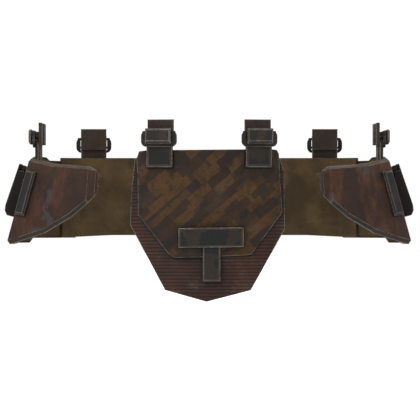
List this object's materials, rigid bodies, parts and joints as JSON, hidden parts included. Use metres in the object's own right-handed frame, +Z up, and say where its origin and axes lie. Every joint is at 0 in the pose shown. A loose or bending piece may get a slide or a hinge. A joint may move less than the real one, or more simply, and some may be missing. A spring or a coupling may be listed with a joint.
{
  "type": "waist armour",
  "caption": "Waist armour: a pointed front apron, flared hip plates with hanging lames and a back panel, hung from buckled straps with hinged catch plates.",
  "frame": {"origin": "the middle of the waist at the level of the strap ends", "axes": "+X to the viewer's right when the front is looked at, -Y to the front, +Z up"},
  "size_m": [0.5086, 0.2962, 0.2214],
  "materials": {
    "back_plate": "worn rust-brown paint with bare grey streaks",
    "hip_plate": "worn rust-brown paint with bare grey streaks",
    "apron_cover": "worn paint in slanted ochre, olive and brown blocks",
    "apron_backing": "dark red-brown, ribbed across",
    "apron_lining": "blotched olive cloth",
    "hip_lining": "blotched olive cloth",
    "back_lining": "blotched olive cloth",
    "clasp_crossbar": "dark grey, worn to brown patches",
    "clasp_tongue": "dark grey, worn to brown patches",
    "splint": "dark grey with light worn edges",
    "lame": "very dark brown with worn edges",
    "lame_hinge": "dull steel",
    "apron_rivets": "dull steel",
    "hip_rivets": "dull steel",
    "back_rivets": "dull steel",
    "lower_strap": "dark blue-grey, stitched",
    "upper_strap": "brown-grey",
    "buckle": "dark dull steel",
    "catch": "brown-grey with light worn edges"
  },
  "bodies": {
    "back_panel": {"back_plate": "back_plate", "back_lining": "back_lining", "back_rivets": "back_rivets", "back_left_lower_strap": "lower_strap", "back_left_upper_strap": "upper_strap", "back_left_buckle": "buckle", "back_right_lower_strap": "lower_strap", "back_right_upper_strap": "upper_strap", "back_right_buckle": "buckle"},
    "apron": {"apron_backing": "apron_backing", "apron_cover": "apron_cover", "apron_lining": "apron_lining", "clasp_crossbar": "clasp_crossbar", "clasp_tongue": "clasp_tongue", "apron_rivets": "apron_rivets", "apron_left_lower_strap": "lower_strap", "apron_left_upper_strap": "upper_strap", "apron_left_buckle": "buckle", "apron_right_lower_strap": "lower_strap", "apron_right_upper_strap": "upper_strap", "apron_right_buckle": "buckle"},
    "left_hip": {"left_hip_plate": "hip_plate", "left_hip_lining": "hip_lining", "left_hip_rivets": "hip_rivets", "left_splint": "splint", "left_lame_hinge": "lame_hinge", "left_front_lower_strap": "lower_strap", "left_front_upper_strap": "upper_strap", "left_front_buckle": "buckle", "left_rear_lower_strap": "lower_strap", "left_rear_upper_strap": "upper_strap", "left_rear_buckle": "buckle"},
    "right_hip": {"right_hip_plate": "hip_plate", "right_hip_lining": "hip_lining", "right_hip_rivets": "hip_rivets", "right_splint": "splint", "right_lame_hinge": "lame_hinge", "right_front_lower_strap": "lower_strap", "right_front_upper_strap": "upper_strap", "right_front_buckle": "buckle", "right_rear_lower_strap": "lower_strap", "right_rear_upper_strap": "upper_strap", "right_rear_buckle": "buckle"},
    "left_lame": {"left_lame": "lame"},
    "right_lame": {"right_lame": "lame"},
    "apron_left_catch": {"apron_left_catch": "catch"},
    "back_left_catch": {"back_left_catch": "catch"},
    "left_front_catch": {"left_front_catch": "catch"},
    "left_rear_catch": {"left_rear_catch": "catch"},
    "apron_right_catch": {"apron_right_catch": "catch"},
    "back_right_catch": {"back_right_catch": "catch"},
    "right_front_catch": {"right_front_catch": "catch"},
    "right_rear_catch": {"right_rear_catch": "catch"}
  },
  "joints": [
    {"name": "apron_swing", "type": "hinge", "parent": "back_panel", "child": "apron", "pos_m": [0, -0.1396, 0], "axis": [-1, 0, 0], "range_deg": [0, 60]},
    {"name": "left_hip_swing", "type": "hinge", "parent": "back_panel", "child": "left_hip", "pos_m": [-0.2094, 0, 0], "axis": [0, 1, 0], "range_deg": [0, 35]},
    {"name": "right_hip_swing", "type": "hinge", "parent": "back_panel", "child": "right_hip", "pos_m": [0.2094, 0, 0], "axis": [0, -1, 0], "range_deg": [0, 35]},
    {"name": "left_lame_hinge", "type": "hinge", "parent": "left_hip", "child": "left_lame", "pos_m": [-0.23158, 0.004, -0.05757], "axis": [0, 1, 0], "range_deg": [0, 55]},
    {"name": "right_lame_hinge", "type": "hinge", "parent": "right_hip", "child": "right_lame", "pos_m": [0.23158, 0.004, -0.05757], "axis": [0, -1, 0], "range_deg": [0, 55]},
    {"name": "apron_left_catch_flip", "type": "hinge", "parent": "apron", "child": "apron_left_catch", "pos_m": [-0.06097, -0.14715, -0.0155], "axis": [-0.9627, 0.2705, 0], "range_deg": [0, 80]},
    {"name": "back_left_catch_flip", "type": "hinge", "parent": "back_panel", "child": "back_left_catch", "pos_m": [-0.148, 0.13175, -0.019], "axis": [1, 0, 0], "range_deg": [0, 80]},
    {"name": "left_front_catch_flip", "type": "hinge", "parent": "left_hip", "child": "left_front_catch", "pos_m": [-0.21727, -0.02398, -0.0145], "axis": [0.0035, 1, 0], "range_deg": [0, 80]},
    {"name": "left_rear_catch_flip", "type": "hinge", "parent": "left_hip", "child": "left_rear_catch", "pos_m": [-0.21619, 0.0341, -0.0145], "axis": [0.0175, 0.9998, 0], "range_deg": [0, 80]},
    {"name": "apron_right_catch_flip", "type": "hinge", "parent": "apron", "child": "apron_right_catch", "pos_m": [0.06097, -0.14715, -0.0155], "axis": [-0.9627, -0.2705, 0], "range_deg": [0, 80]},
    {"name": "back_right_catch_flip", "type": "hinge", "parent": "back_panel", "child": "back_right_catch", "pos_m": [0.148, 0.13175, -0.019], "axis": [1, 0, 0], "range_deg": [0, 80]},
    {"name": "right_front_catch_flip", "type": "hinge", "parent": "right_hip", "child": "right_front_catch", "pos_m": [0.21727, -0.02398, -0.0145], "axis": [0.0035, -1, 0], "range_deg": [0, 80]},
    {"name": "right_rear_catch_flip", "type": "hinge", "parent": "right_hip", "child": "right_rear_catch", "pos_m": [0.21619, 0.0341, -0.0145], "axis": [0.0175, -0.9998, 0], "range_deg": [0, 80]}
  ]
}
